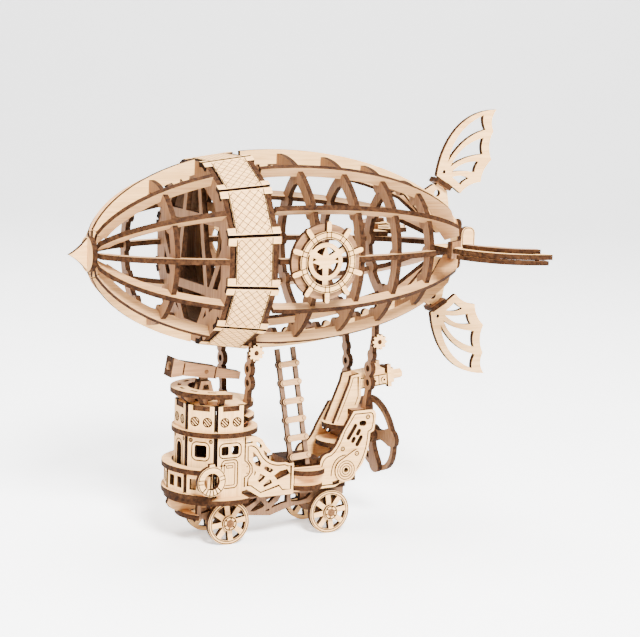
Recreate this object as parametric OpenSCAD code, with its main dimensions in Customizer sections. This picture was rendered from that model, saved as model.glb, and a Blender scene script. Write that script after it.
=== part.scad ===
// Airship model assembled from flat plywood plates: ribbed envelope, tail fins,
// wheeled gondola with tower, telescope, ladder, engine and propeller.
// Millimetres, +Z up, nose toward -X, port side toward -Y, wheels on z = 0.

/* [Sheet] */
// Thickness of the plywood sheet
sheet = 2; // [1.9:0.05:2.05]
// Clearance left on each side of a slot or butt joint
slot_gap = 0.05; // [0.03:0.01:0.08]
// Radial clearance of axles and pins that turn
running_gap = 0.06; // [0.04:0.01:0.1]

/* [Envelope] */
// Height of the envelope axis above the ground
axis_z = 111; // [110.5:0.25:111.5]
// Largest radius of the stringers
envelope_radius = 37.8; // [37.4:0.1:38.2]
// Radial depth of the narrow stringers
stringer_depth = 3.8; // [3.6:0.1:4]
// Radial depth of the upper and lower keels
keel_depth = 5.4; // [5:0.1:5.8]
// Radial depth of the ring formers
ring_depth = 4.2; // [4:0.1:4.6]
// Step from the stringer edge down to the ring edge
ring_drop = 1.5; // [1.3:0.1:1.7]
// Radius of the nose disc
nose_radius = 6.4; // [6.2:0.1:6.6]
// Half height of the tail post
tail_radius = 10.1; // [9.8:0.1:10.4]

/* [Ship's wheel] */
// Outer radius of the wheel rim
helm_radius = 11.2; // [10.8:0.1:11.6]
// Number of handles on the rim
helm_handles = 10; // [8:2:10]

/* [Tower] */
// Distance from the tower axis to each wall face
tower_apothem = 14.5; // [14.4:0.05:14.6]
// Radius of the lower cornice
cornice_radius = 16.4; // [16.2:0.1:16.8]
// Radius of the lookout platform
lookout_radius = 17.2; // [16.8:0.1:17.6]

/* [Running gear] */
// Wheel radius
wheel_radius = 8.5; // [8.3:0.1:8.5]
// Number of wheel spokes
wheel_spokes = 8; // [6:1:10]
// Axle radius
axle_radius = 1.5; // [1.3:0.1:1.7]
// Reach of the longer pair of propeller blades
propeller_radius = 17.4; // [16.4:0.2:17.6]
// Angle by which the propeller shaft rises toward the tail
propeller_rise = 8; // [7:0.5:9]

/* [Telescope] */
// Nose-up angle of the telescope at rest
telescope_angle = 9.8; // [8:0.2:11]
// Height of the telescope's front aperture
telescope_mouth = 7.6; // [7:0.1:8]

/* [Ladder] */
// Distance between the ladder rails, outside to outside
ladder_width = 8.6; // [8:0.1:9]
// Number of rungs
ladder_rungs = 6; // [5:1:7]

/* [Hidden] */
$fn = 48;
tiny = 0.01;

stringer_count = 12;
stringer_step = 360 / stringer_count;
widest_x = -10;
front_length = 73;
rear_length = 88;
nose_tip_x = -90;
nose_disc_x = -83;
tail_x = widest_x + rear_length - 5;
ring_front_x = -58.8;
ring_rear_x = [-7.3, 11.5, 29.1, 47];
root_radius = 4.6;

belt_front_x = -42.4;
belt_rear_x = -23;
belt_front_apothem = edge_radius(belt_front_x) - 0.27;
belt_rear_apothem = edge_radius(belt_rear_x) - 0.9;
belt_ear = 2.6;
bulkhead_front_x = -41.8;
bulkhead_rear_x = -23.6 - sheet;
belt_tilt = atan2(belt_rear_apothem - belt_front_apothem, belt_rear_x - belt_front_x);
belt_length = norm([belt_rear_x - belt_front_x, belt_rear_apothem - belt_front_apothem]);

helm_x = -6.7;
helm_back_radius = 13.8;
helm_tip_radius = 14.9;
helm_y = envelope_radius + slot_gap;

fin_plane_z = sheet / 2 + slot_gap;
flat_fin_shift = [-13.2, 8.5];
neck_width = 4;
neck_turn = 30;
collar_size = [7.4, 2, 6.4];
collar_drop = 0.6;
drawn_collar = [65.9, 24.8];
collar_x = tail_x - 7.1;
collar_centre = [collar_x, edge_radius(collar_x) + 8.107];
fin_shift = collar_centre - drawn_collar;
strip_width = 2.2;
strip_thick = 1.6;
strip_gap = 0.4;
strip_pads = [[65, 30.6], [84.4, 51.9]];

tower_x = -30.8;
tower_wall_width = 2 * (tower_apothem - sheet) * tan(22.5) - 0.1;
deck_low_z = 17.4;
deck_mid_z = deck_low_z + sheet;
rail_z = deck_mid_z + sheet;
rail_top_z = 29;
cornice_low_z = 42.5;
frieze_z = cornice_low_z + sheet;
cornice_high_z = 52.4;
cornice_high_radius = 14.5;
horn_width = 1.7;
horn_slot = 2.4;
bracket_z = cornice_high_z + sheet;
lookout_z = 57.4;
balcony_radius = 20;
balcony_half_angle = 64;
rail_apothem = 18.6;
rail_step = 32;
deck_end_x = -24;
bow_plate_z = 10.2;
bow_plate_radius = 14.6;

side_inner_y = 10.4;
stern_inner_y = 9;
hull_inner_y = 6.4;
hull_front_x = -41;
belly_z = 10.5;
axle_z = wheel_radius;
front_axle_x = -29.2;
rear_axle_x = 14.1;
wheel_inner_y = 9.2;
wheel_width = 2.2;
hub_width = 1.2;

stern_wall_x = 24.45;
transom_x = 28.4;
shaft_z = 35.5;
shaft_radius = 1.5;
propeller_x = 39;
stern_top_z = 45.5;
engine_x = 30 + slot_gap;
engine_z = 54.9;
engine_rise = 6;
engine_length = 11.8;
engine_height = 4.5;

hanger_front_x = bulkhead_rear_x + sheet + slot_gap;
hanger_rear_x = ring_rear_x[2] + sheet / 2 + slot_gap;
gear_radius = 2.5;
gear_tip = 3.1;
gear_peg = 0.9;
gear_offset = 1.7;

telescope_pivot = [-36, 0, 65.6];
telescope_half_width = 2.9;
tilt_pin_radius = 0.8;
turn_pin_radius = 1.5;
turntable_z = 56.6;

ladder_top = [-2.6, -1.4, axis_z - envelope_radius - 0.6];
ladder_foot = [1, -9.6, 27.8];
first_rung = 3.8;
last_rung_drop = 6.2;
ladder_reach = norm(ladder_top - ladder_foot);
ladder_lean = atan2(ladder_top[1] - ladder_foot[1], ladder_top[2] - ladder_foot[2]);
ladder_tilt = asin((ladder_top[0] - ladder_foot[0]) / ladder_reach);

// Radius of the stringers' outer edge at station x
function edge_radius(x) =
    x < widest_x
    ? envelope_radius * sqrt(max(0, 1 - pow((widest_x - x) / front_length, 2)))
    : envelope_radius * pow(max(0, 1 - pow((x - widest_x) / rear_length, 2)), 0.6);

// Slope angle of that edge
function edge_slope(x) = atan2(edge_radius(x + 0.2) - edge_radius(x - 0.2), 0.4);

// Point of the edge moved inward by a depth
function inner_point(x, depth) =
    [x + depth * sin(edge_slope(x)), max(root_radius, edge_radius(x) - depth * cos(edge_slope(x)))];

// Radius at which a ring and a stringer meet half way
function split_radius(x) = edge_radius(x) - (ring_drop + stringer_depth) / 2;

// Points of a quadratic curve, without its last point
function curve(a, c, b, n = 7) =
    [for (i = [0 : n - 1]) let (t = i / n) (1 - t) * (1 - t) * a + 2 * t * (1 - t) * c + t * t * b];

// Evenly spaced stations from a to b
function stations(a, b, n) = [for (i = [0 : n]) a + (b - a) * i / n];

// Unit vector at an angle measured from the nose direction toward port
function bow_dir(angle) = [-cos(angle), -sin(angle)];

module both_sides() {
    children();
    mirror([0, 1, 0]) children();
}

// Flat plate whose drawing lies in x and z, from y to y + thick
module side_plate(y, thick = sheet) {
    translate([0, y + thick, 0]) rotate([90, 0, 0]) linear_extrude(thick) children();
}

// Flat plate whose drawing lies in y and z, from x to x + thick
module cross_plate(x, thick = sheet) {
    translate([x, 0, 0]) rotate([90, 0, 90]) linear_extrude(thick) children();
}

// Flat plate whose drawing lies in x and y, from z to z + thick
module level_plate(z, thick = sheet) {
    translate([0, 0, z]) linear_extrude(thick) children();
}

// Plate through the envelope axis, its drawing in x and radius
module meridian_plate(angle) {
    translate([0, 0, axis_z])
        rotate([angle, 0, 0])
            side_plate(-sheet / 2) children();
}

// Strip of a given width along a row of points, with round ends
module strip(points, width) {
    for (i = [0 : len(points) - 2]) {
        a = points[i];
        b = points[i + 1];
        n = width / 2 * [a[1] - b[1], b[0] - a[0]] / norm(b - a);
        polygon([a + n, b + n, b - n, a - n]);
    }
    for (p = points) translate(p) circle(d = width, $fn = 24);
}

// Straight bar of a given width between two points
module bar(a, b, width) {
    translate((a + b) / 2)
        rotate(atan2(b[1] - a[1], b[0] - a[0])) square([norm(b - a), width], center = true);
}

module rounded_window(w, h, r) {
    square([w - 2 * r, h], center = true);
    square([w, h - 2 * r], center = true);
    for (x = [-1, 1], y = [-1, 1]) {
        translate([x * (w / 2 - r), y * (h / 2 - r)]) circle(r, $fn = 16);
    }
}

// Envelope lengthwise pieces

// Band along the envelope's edge; behind the station web_x its inner side runs straight to a foot
module edge_band(xs, depth, web_x = tail_x, foot = []) {
    outer = [for (x = xs) [x, edge_radius(x)]];
    inner = [for (i = [len(xs) - 1 : -1 : 0]) if (xs[i] < web_x) inner_point(xs[i], depth)];
    end_x = max([for (p = concat(outer, foot)) p[0]]);
    intersection() {
        polygon(concat(outer, foot, inner));
        translate([xs[0], 0]) square([end_x - xs[0], envelope_radius + 1]);
    }
}

module ring_notch(x) {
    translate([x - sheet / 2 - slot_gap, 0]) square([sheet + 2 * slot_gap, split_radius(x) + slot_gap]);
}

front_span = stations(nose_disc_x + sheet + slot_gap, bulkhead_front_x - slot_gap, 22);
rear_start_x = bulkhead_rear_x + sheet + slot_gap;
keel_span = stations(rear_start_x, tail_x - slot_gap, 34);
keel_foot = [[tail_x - slot_gap, 0.63 * tail_radius], [tail_x - 9, root_radius]];
stringer_span = stations(rear_start_x, tail_x - 7.6, 32);
stringer_foot = [[tail_x - 3.6, 10.4], [tail_x - 8, 6.2]];

// Front end of a lengthwise piece, widened down to the nose disc
module nose_foot(depth) {
    start_x = front_span[0];
    front = [[start_x, root_radius], [start_x, edge_radius(start_x) - 0.4]];
    middle = [for (x = front_span) if (x < -75) inner_point(x, depth / 2)];
    polygon(concat(front, middle, [inner_point(-75, depth)]));
}

module front_stringer_drawing(depth) {
    difference() {
        union() {
            edge_band(front_span, depth);
            nose_foot(depth);
        }
        ring_notch(ring_front_x);
    }
}

module rear_stringer_drawing(depth) {
    difference() {
        edge_band(stringer_span, depth, tail_x - 16, stringer_foot);
        for (x = ring_rear_x) ring_notch(x);
    }
}

module front_keel_drawing() {
    difference() {
        union() {
            edge_band(front_span, keel_depth);
            nose_foot(keel_depth);
            for (x = [-68, -51, -47]) translate(inner_point(x, keel_depth)) circle(1.6, $fn = 24);
        }
        ring_notch(ring_front_x);
    }
}

module rear_keel_drawing() {
    difference() {
        union() {
            edge_band(keel_span, keel_depth, tail_x - 22, keel_foot);
            for (x = [-17, 2, 20, 38]) {
                translate(inner_point(x - 3.2, keel_depth)) circle(1.7, $fn = 24);
                translate(inner_point(x + 3.2, keel_depth)) circle(1.7, $fn = 24);
            }
        }
        for (x = ring_rear_x) ring_notch(x);
    }
}

module front_stringers() {
    color("#d9b98c")
        for (k = [1 : 5], turn = [0, 180]) {
            meridian_plate(turn + stringer_step * k) front_stringer_drawing(stringer_depth);
        }
}

module rear_stringers() {
    color("#d9b98c")
        for (k = [1 : 5], turn = [0, 180]) {
            meridian_plate(turn + stringer_step * k) rear_stringer_drawing(stringer_depth);
        }
}

// Front and rear plates of the upper and the lower keel
module keels() {
    color("#e6cda4")
        for (turn = [0, 180]) {
            meridian_plate(turn) front_keel_drawing();
            meridian_plate(turn) rear_keel_drawing();
        }
}

// Envelope rings

module ring_former(x) {
    outer = edge_radius(x) - ring_drop;
    inner = outer - ring_depth;
    translate([0, 0, axis_z])
        cross_plate(x - sheet / 2)
            difference() {
                union() {
                    difference() {
                        circle(outer, $fn = 96);
                        circle(inner, $fn = 96);
                    }
                    for (k = [0 : stringer_count - 1]) {
                        rotate(k * stringer_step) translate([inner + 0.6, 0]) circle(2.4, $fn = 24);
                    }
                }
                for (k = [0 : stringer_count - 1]) {
                    rotate(k * stringer_step)
                        translate([split_radius(x) - slot_gap, -sheet / 2 - slot_gap])
                            square([ring_depth + 2, sheet + 2 * slot_gap]);
                }
            }
}

module ring_nose() {
    color("#c99f6c") ring_former(ring_front_x);
}

module rear_rings() {
    color("#c99f6c") for (x = ring_rear_x) ring_former(x);
}

module nose_disc() {
    color("#d9b98c")
        translate([nose_disc_x, 0, axis_z]) rotate([0, 90, 0]) cylinder(r = nose_radius, h = sheet);
}

module nose_tip() {
    tip = [nose_tip_x, 0];
    upper_corner = [nose_disc_x - slot_gap, 5.8];
    lower_corner = [nose_disc_x - slot_gap, -5.8];
    color("#e6cda4")
        translate([0, 0, axis_z])
            side_plate(-sheet / 2)
                polygon(concat(
                    curve(tip, [-86.2, 1.8], upper_corner),
                    [upper_corner],
                    curve(lower_corner, [-86.2, -1.8], tip)
                ));
}

// Upright post that closes the ends of both keels
module tail_post() {
    color("#b98a58")
        translate([0, 0, axis_z]) cross_plate(tail_x) rounded_window(5.2, 2 * tail_radius, 2.4);
}

// Upright plate behind the tail post: a rounded lobe on a short bar
module tail_plate() {
    lobe_size = [6.3, 13.6];
    bar_length = 1.1;
    color("#e6cda4")
        translate([tail_x + sheet + slot_gap, 0, axis_z])
            side_plate(-sheet / 2) {
                translate([bar_length + lobe_size[0] / 2, 0]) rounded_window(lobe_size[0], lobe_size[1], 2.8);
                translate([0, -2.2]) square([bar_length + 1, 4.4]);
            }
}

// Belt

function belt_apothem(x) =
    belt_front_apothem + (x - belt_front_x) * tan(belt_tilt);
function belt_under(x) = belt_apothem(x) - sheet / cos(belt_tilt) - slot_gap;
function belt_half_width(apothem) = (apothem - sheet - slot_gap) * tan(stringer_step / 2) - slot_gap;

belt_front_half = belt_half_width(belt_front_apothem);
belt_rear_half = belt_half_width(belt_rear_apothem);
front_notch = (bulkhead_front_x + sheet + slot_gap - belt_front_x) / cos(belt_tilt) + 0.3;
rear_notch = (belt_rear_x - bulkhead_rear_x + slot_gap) / cos(belt_tilt) + 0.3;

module belt_panel() {
    difference() {
        polygon([
            [0, -belt_front_half],
            [belt_length, -belt_rear_half],
            [belt_length, belt_rear_half],
            [0, belt_front_half]
        ]);
        translate([-1, belt_ear - belt_front_half])
            square([front_notch + 1, 2 * (belt_front_half - belt_ear)]);
        translate([belt_length - rear_notch, belt_ear - belt_rear_half])
            square([rear_notch + 1, 2 * (belt_rear_half - belt_ear)]);
    }
}

module belt_panels() {
    color("#f0dcb8")
        translate([0, 0, axis_z])
            for (k = [0 : stringer_count - 1]) {
                rotate([k * stringer_step, 0, 0])
                    translate([belt_front_x, 0, belt_front_apothem])
                        rotate([0, -belt_tilt, 0])
                            level_plate(-sheet) belt_panel();
            }
}

// Twelve-sided ring with a truss of level bars and slanting struts in it
module bulkhead(x, half_width) {
    under = belt_under(x);
    ring_inner = under - 5.5;
    level_z = ring_inner / 2;
    translate([0, 0, axis_z])
        cross_plate(x) {
            difference() {
                union() {
                    rotate(stringer_step / 2) circle(under / cos(stringer_step / 2), $fn = 12);
                    for (k = [0 : stringer_count - 1]) {
                        rotate(k * stringer_step)
                            translate([under - 3, belt_ear + 0.15 - half_width])
                                square([belt_apothem(x) - under + 2.8, 2 * (half_width - belt_ear - 0.15)]);
                    }
                }
                rotate(stringer_step / 2) circle(ring_inner / cos(stringer_step / 2), $fn = 12);
            }
            intersection() {
                rotate(stringer_step / 2) circle((ring_inner + 1) / cos(stringer_step / 2), $fn = 12);
                for (side = [-1, 1]) {
                    bar([-under, side * level_z], [under, side * level_z], 3.4);
                    bar(under * [side * 0.13, 1], under * [side * 0.55, -1], 2.8);
                    bar(under * [side, 0.3], under * [side * 0.13, -1], 2.8);
                }
            }
        }
}

module bulkhead_front() {
    color("#b98a58") bulkhead(bulkhead_front_x, belt_front_half);
}

module bulkhead_rear() {
    color("#b98a58") bulkhead(bulkhead_rear_x, belt_rear_half);
}

// Ship's wheel on each side of the envelope

module helm_backs() {
    color("#b98a58")
        both_sides()
            translate([helm_x, 0, axis_z])
                side_plate(-helm_y - sheet)
                    difference() {
                        circle(helm_back_radius, $fn = 72);
                        circle(helm_radius - 1.2, $fn = 72);
                    }
}

module helm_rims() {
    color("#f0dcb8")
        both_sides()
            translate([helm_x, 0, axis_z])
                side_plate(-helm_y - 2 * sheet)
                    difference() {
                        union() {
                            circle(helm_radius, $fn = 72);
                            for (k = [0 : helm_handles - 1]) {
                                rotate(90 + k * 360 / helm_handles)
                                    strip([[helm_radius - 1, 0], [helm_tip_radius - 0.9, 0]], 1.8);
                            }
                        }
                        circle(helm_radius - 2.6, $fn = 72);
                    }
}

module helm_hubs() {
    spoke_reach = helm_radius - 0.6;
    color("#e6cda4")
        both_sides()
            translate([helm_x, 0, axis_z])
                side_plate(-helm_y - sheet) {
                    difference() {
                        circle(6.9, $fn = 48);
                        circle(5.3, $fn = 48);
                    }
                    intersection() {
                        circle(helm_radius - 1.2 - slot_gap, $fn = 72);
                        for (k = [0 : 2]) rotate(30 + 120 * k) strip([[0, 0], [spoke_reach, 0]], 2.2);
                    }
                    for (k = [0 : 3]) {
                        rotate(90 * k) polygon([[0, 5.8], [1.5, 1.5], [-1.5, 1.5]]);
                        rotate(45 + 90 * k) polygon([[0, 4], [1.2, 1.2], [-1.2, 1.2]]);
                    }
                    circle(2.4, $fn = 32);
                }
}

// Tail fins

fin_outline = concat(
    curve([63.1, 27.5], [64.6, 38.5], [71.1, 45.8]),
    curve([71.1, 45.8], [78.2, 53.6], [90, 54]),
    curve([90, 54], [86.6, 49.8], [89, 45.3]),
    curve([89, 45.3], [85.8, 39.6], [88.65, 33.8]),
    curve([88.65, 33.8], [84.2, 29.8], [84, 24.9]),
    curve([84, 24.9], [78, 24.4], [74.5, 20.4]),
    [[74.5, 20.4], [69.6, 23.9]]
);

fin_openings = [
    concat(
        curve([68, 32.9], [70.4, 46.2], [84, 51.7]),
        curve([84, 51.7], [83.4, 48.8], [85.1, 45.9]),
        curve([85.1, 45.9], [74.6, 43.4], [68, 32.9])
    ),
    concat(
        curve([69.2, 31], [73.6, 40.2], [84.5, 42.7]),
        curve([84.5, 42.7], [83, 39.4], [84.3, 36.1]),
        curve([84.3, 36.1], [75, 35.4], [69.2, 31])
    ),
    concat(
        curve([70, 28.9], [75, 33.6], [82.5, 33.1]),
        curve([82.5, 33.1], [80.8, 31], [80.8, 28.8]),
        curve([80.8, 28.8], [75.6, 29.9], [70, 28.9])
    ),
    concat(
        curve([70.3, 26.9], [74.8, 28.2], [78.2, 26.4]),
        curve([78.2, 26.4], [75.8, 25.6], [74.3, 23.8]),
        curve([74.3, 23.8], [72.2, 25.8], [70.3, 26.9])
    )
];

// Point of the neck, a share of its width to one side and a distance along it
function neck_point(side, along) =
    drawn_collar + side * neck_width / 2 * [cos(neck_turn), -sin(neck_turn)]
    + along * [sin(neck_turn), cos(neck_turn)];

fin_neck = [neck_point(1, 1.04), neck_point(1, -3.4), neck_point(-1, -3.4), neck_point(-1, 0.97)];

module fin_blade() {
    difference() {
        polygon(concat(fin_outline, fin_neck));
        for (opening = fin_openings) polygon(opening);
        translate([66.4, 29.1]) circle(0.7, $fn = 24);
    }
}

// Bracket that carries an upright fin on the keel edge
module fin_bracket() {
    foot = [for (x = stations(collar_x + 3.7, collar_x - 7.9, 8)) [x, edge_radius(x) + slot_gap]];
    difference() {
        polygon(concat([collar_centre - [4.1, 0.6], collar_centre + [2.3, -3.4]], foot));
        translate(collar_centre - [2.3, 4.2]) circle(1.4, $fn = 24);
    }
}

module upright_fin() {
    side_plate(-sheet / 2) {
        translate(fin_shift) fin_blade();
        fin_bracket();
    }
}

module upper_fin() {
    color("#e6cda4") translate([0, 0, axis_z]) upright_fin();
}

module lower_fin() {
    color("#e6cda4") translate([0, 0, axis_z]) mirror([0, 0, 1]) upright_fin();
}

// Root of a flat fin, lying on the side stringer
module flat_fin_root() {
    root_x = ring_rear_x[3] + sheet / 2 + 0.2;
    root_y = edge_radius(root_x);
    polygon([
        [root_x, root_y - 3.95],
        [root_x, root_y + 6.83],
        [root_x + 5.4, root_y + 4.23],
        [root_x + 6.8, root_y - 5.15]
    ]);
}

module flat_fins() {
    color("#e6cda4")
        both_sides()
            translate([0, 0, axis_z + fin_plane_z])
                mirror([0, 1, 0])
                    linear_extrude(sheet) {
                        translate(fin_shift + flat_fin_shift) fin_blade();
                        flat_fin_root();
                    }
}

// Strip along a fin's leading edge, set back from it
module leading_strip(set_back, end_x) {
    inward = [1, -1.1];
    intersection() {
        difference() {
            translate(set_back * inward) polygon(fin_outline);
            translate((set_back + strip_width) * inward) polygon(fin_outline);
        }
        translate([60, 29.5]) square([end_x - 60, 30]);
    }
}

// One strip on each flat fin and one below it, held off by two pads
module fin_strips() {
    color("#b98a58")
        both_sides()
            translate([0, 0, axis_z + fin_plane_z])
                mirror([0, 1, 0])
                    translate(fin_shift + flat_fin_shift) {
                        level_plate(sheet + slot_gap, strip_thick) leading_strip(2, 86.5);
                        level_plate(-strip_gap - strip_thick, strip_thick) leading_strip(0, 88.5);
                        for (p = strip_pads) {
                            translate([p[0], p[1], -strip_gap - strip_thick / 2])
                                cylinder(r = 0.8, h = strip_gap + strip_thick / 2 - slot_gap, $fn = 24);
                        }
                    }
}

module collar() {
    rotate([0, neck_turn, 0])
        translate([0, 0, -collar_drop])
            difference() {
                cube([collar_size[0], collar_size[2], collar_size[1]], center = true);
                cube([neck_width + 2 * slot_gap, sheet + 2 * slot_gap, collar_size[1] + 1], center = true);
            }
}

module fin_collars() {
    flat_centre = collar_centre + flat_fin_shift;
    color("#8a5f3a")
        translate([0, 0, axis_z]) {
            for (turn = [0, 1]) {
                mirror([0, 0, turn]) translate([collar_centre[0], 0, collar_centre[1]]) collar();
                mirror([0, turn, 0])
                    translate([flat_centre[0], flat_centre[1], fin_plane_z + sheet / 2])
                        rotate([-90, 0, 0]) collar();
            }
        }
}

// Hangers between envelope and gondola

front_hanger_path = [
    [11, 54.6], [11.4, 58.6], [12.6, 62.4], [12.2, 67.6], [13.4, 71.8], [14, 76], [14, 83]
];
rear_hanger_path = [
    [6.8, 47.8], [7.8, 52.6], [9.2, 58.4], [9, 64], [10.4, 69.6], [12.2, 77.1], [12.2, 84.4]
];

module hanger_drawing(path, floor_z) {
    difference() {
        union() {
            strip(path, 2.6);
            for (i = [2, 3]) translate(path[i]) circle(2.9, $fn = 32);
            translate(path[4]) circle(2.2, $fn = 32);
            strip([path[0] - [1, 0], path[0] + [1, 0]], 2.2);
        }
        for (i = [2, 3]) translate(path[i]) circle(1.3, $fn = 24);
        translate([0, floor_z - 5]) square([30, 5]);
    }
}

module hanger_pair(x, path, floor_z) {
    both_sides() {
        mirror([0, 1, 0]) cross_plate(x) hanger_drawing(path, floor_z);
        translate([x + sheet / 2, -path[5][0], path[5][1] - 1.5])
            rotate([90, 0, 0]) cylinder(r = gear_peg, h = gear_offset + slot_gap + sheet, $fn = 24);
    }
}

module front_hangers() {
    color("#c99f6c") hanger_pair(hanger_front_x, front_hanger_path, bracket_z + slot_gap);
}

module rear_hangers() {
    color("#c99f6c") hanger_pair(hanger_rear_x, rear_hanger_path, stern_top_z + sheet + slot_gap);
}

module gear_drawing() {
    difference() {
        union() {
            circle(gear_radius, $fn = 48);
            for (k = [0 : 9]) {
                rotate(36 * k)
                    translate([gear_radius - 0.5, -0.45]) square([gear_tip - gear_radius + 0.5, 0.9]);
            }
        }
        circle(gear_peg + slot_gap, $fn = 24);
    }
}

module hanger_gears() {
    color("#f0dcb8")
        both_sides() {
            translate([hanger_front_x + sheet / 2, 0, front_hanger_path[5][1] - 1.5])
                side_plate(-front_hanger_path[5][0] - gear_offset - slot_gap - sheet) gear_drawing();
            translate([hanger_rear_x + sheet / 2, 0, rear_hanger_path[5][1] - 1.5])
                side_plate(-rear_hanger_path[5][0] - gear_offset - slot_gap - sheet) gear_drawing();
        }
}

// Ladder, drawn upright and then leaned to port and toward the tail

module lean_ladder() {
    translate(ladder_foot) rotate([-ladder_lean, 0, 0]) rotate([0, ladder_tilt, 0]) children();
}

rung_pitch = (ladder_reach - first_rung - last_rung_drop) / (ladder_rungs - 1);
function rung_height(i) = first_rung + rung_pitch * i;

module ladder_rails() {
    rail_x = ladder_width / 2 - 0.9;
    color("#d9b98c")
        lean_ladder()
            for (side = [-1, 1]) {
                side_plate(-0.7, 1.4) {
                    translate([side * rail_x - 0.9, 0]) square([1.8, ladder_reach]);
                    for (i = [0 : ladder_rungs - 1]) {
                        translate([side * rail_x, rung_height(i)]) circle(1.5, $fn = 24);
                    }
                }
            }
}

module ladder_steps() {
    rail_x = ladder_width / 2 - 0.9;
    color("#e6cda4")
        lean_ladder()
            for (i = [0 : ladder_rungs - 1]) {
                side_plate(-0.7 - slot_gap - 1.4, 1.4)
                    strip([[-rail_x, rung_height(i)], [rail_x, rung_height(i)]], 2.4);
                for (side = [-1, 1]) {
                    translate([side * rail_x, -2.1 - slot_gap, rung_height(i)])
                        rotate([90, 0, 0]) cylinder(r = 0.75, h = 0.5, $fn = 20);
                }
            }
}

// Tower

module tower_outline(extra) {
    translate([tower_x, 0]) rotate(22.5) circle((tower_apothem + extra) / cos(22.5), $fn = 8);
}

// Upright wall facing a bow angle, its drawing in width and height
module bow_wall(angle, apothem, thick = sheet) {
    translate([tower_x, 0, 0])
        rotate([0, 0, angle])
            translate([-apothem, 0, 0])
                rotate([90, 0, 90]) linear_extrude(thick) children();
}

module arched_window(w, h) {
    translate([-w / 2, 0]) square([w, h - w / 2]);
    translate([0, h - w / 2]) circle(w / 2, $fn = 32);
}

module tower_walls() {
    wall_height = cornice_low_z - deck_mid_z;
    color("#f0dcb8")
        for (angle = [0, 45, -45, 90, -90]) {
            bow_wall(angle, tower_apothem)
                translate([0, deck_mid_z])
                    difference() {
                        translate([-tower_wall_width / 2, slot_gap])
                            square([tower_wall_width, wall_height - 2 * slot_gap]);
                        if (angle == 0) translate([0, 7.5]) arched_window(4.2, 12.2);
                        if (abs(angle) == 45) translate([0, 17.6]) rounded_window(4.8, 4.8, 0.8);
                        if (abs(angle) == 90) {
                            for (side = [-1, 1]) translate([side * 2.1, 18]) rounded_window(3, 3.4, 0.7);
                        }
                    }
        }
}

module lower_cornice() {
    color("#8a5f3a")
        translate([tower_x, 0, cornice_low_z]) cylinder(r = cornice_radius, h = sheet, $fn = 96);
}

// Wall panel whose two upper corners stand up beside the cornice as horns
module frieze_panels() {
    half = tower_wall_width / 2;
    color("#f0dcb8")
        for (angle = [0, 45, -45, 90, -90]) {
            bow_wall(angle, tower_apothem)
                difference() {
                    translate([-half, frieze_z + slot_gap])
                        square([2 * half, cornice_high_z + sheet - frieze_z - slot_gap]);
                    translate([horn_width - half, cornice_high_z - slot_gap])
                        square([2 * (half - horn_width), 2 * sheet]);
                }
        }
}

module aft_balcony() {
    color("#d9b98c")
        difference() {
            union() {
                translate([tower_x, 0, frieze_z + slot_gap]) cylinder(r = 12.6, h = 1.4, $fn = 64);
                translate([tower_x, 0, frieze_z + 3]) cylinder(r = 15, h = 1.6, $fn = 64);
                translate([tower_x, 0, frieze_z + slot_gap])
                    cylinder(r = 12, h = cornice_high_z - frieze_z - 2 * slot_gap, $fn = 64);
            }
            translate([tower_x, 0, frieze_z - 1]) cylinder(r = 9, h = 12, $fn = 64);
            translate([tower_x - 40, -30, frieze_z - 1]) cube([48, 60, 12]);
        }
}

module upper_cornice() {
    slot_centre = tower_wall_width / 2 - horn_width - slot_gap + horn_slot / 2;
    color("#8a5f3a")
        difference() {
            translate([tower_x, 0, cornice_high_z]) cylinder(r = cornice_high_radius, h = sheet, $fn = 96);
            for (angle = [0, 45, -45, 90, -90]) {
                bow_wall(angle, tower_apothem + 2, sheet + 2 + slot_gap)
                    for (side = [-1, 1]) {
                        translate([side * slot_centre, cornice_high_z])
                            square([horn_slot, 3 * sheet], center = true);
                    }
            }
        }
}

module lookout_brackets() {
    color("#c99f6c")
        for (angle = [-75 : 30 : 75]) {
            translate([tower_x, 0, 0])
                rotate([0, 0, angle])
                    side_plate(-sheet / 2)
                        polygon([
                            [-13.4, bracket_z + slot_gap],
                            [-10.6, bracket_z + slot_gap],
                            [-10.6, lookout_z - slot_gap],
                            [-16.2, lookout_z - slot_gap],
                            [-15.8, lookout_z - 1]
                        ]);
        }
}

module lookout() {
    color("#d9b98c")
        level_plate(lookout_z)
            translate([tower_x, 0])
                difference() {
                    circle(lookout_radius, $fn = 96);
                    circle(lookout_radius - 6.6, $fn = 96);
                    translate([-0.8, -30]) square([40, 60]);
                    for (angle = [-60 : 30 : 60]) {
                        rotate(180 + angle)
                            translate([lookout_radius - 3.4, 0]) square([1.4, 3.2], center = true);
                    }
                }
}

// Telescope and its turntable

module telescope_base() {
    color("#b98a58")
        difference() {
            translate([telescope_pivot[0], 0, bracket_z + slot_gap])
                cylinder(r = 4, h = turntable_z - bracket_z - slot_gap - 0.3);
            translate([telescope_pivot[0], 0, bracket_z - 1])
                cylinder(r = turn_pin_radius + running_gap, h = 6);
        }
}

module cheek_drawing() {
    difference() {
        polygon([[-3.3, turntable_z + 1], [3.3, turntable_z + 1], [2, 62], [-2, 62]]);
        polygon([[-1.3, turntable_z + 2], [1.3, turntable_z + 2], [0.9, 60.6], [-0.9, 60.6]]);
    }
}

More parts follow.
